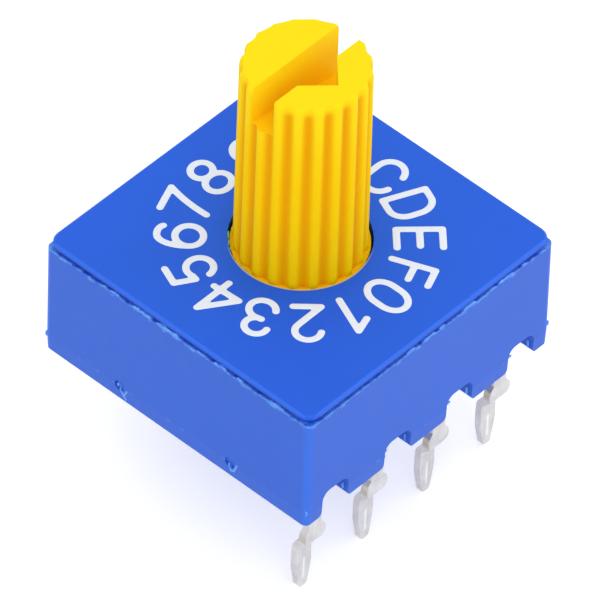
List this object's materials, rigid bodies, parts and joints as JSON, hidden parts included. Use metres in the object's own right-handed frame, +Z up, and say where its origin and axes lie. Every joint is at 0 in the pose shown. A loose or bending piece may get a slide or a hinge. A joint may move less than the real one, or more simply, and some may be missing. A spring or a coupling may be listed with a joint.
{
  "type": "rotary switch",
  "caption": "Square through-hole rotary code switch with a printed dial and a long fluted, slotted shaft that turns in steps without a stop.",
  "frame": {"origin": "on the axis of the shaft, in the plane of the case's feet, which seat on the circuit board; the terminals reach below it", "axes": "+Z up along the shaft; -Y is the side with the row of code terminals, which the 0 of the dial and the pointer of the shaft face at rest"},
  "size_m": [0.01, 0.01, 0.0152],
  "materials": {
    "housing": "moulded satin",
    "dial": "moulded satin, printed dial",
    "shaft": "moulded satin",
    "terminal": "tinned",
    "contact": "gold plated",
    "spring": "cold rolled",
    "seal": "moulded",
    "washer": "stamped",
    "resin": "cast"
  },
  "bodies": {
    "case": {"case": "housing", "cover": "dial", "seal_ring": "seal", "thrust_washer": "washer", "detent_spring_right": "spring", "detent_spring_left": "spring", "resin_front": "resin", "resin_rear": "resin", "terminal_1": "terminal", "terminal_2": "terminal", "terminal_4": "terminal", "terminal_8": "terminal", "terminal_common": "terminal", "contact_1": "contact", "contact_2": "contact", "contact_4": "contact", "contact_8": "contact", "contact_common": "contact"},
    "rotor": {"rotor": "shaft", "code_disc": "contact"}
  },
  "joints": [
    {"name": "shaft_turn", "type": "hinge", "parent": "case", "child": "rotor", "pos_m": [0, 0, 0.0035], "axis": [0, 0, 1], "continuous": true}
  ]
}
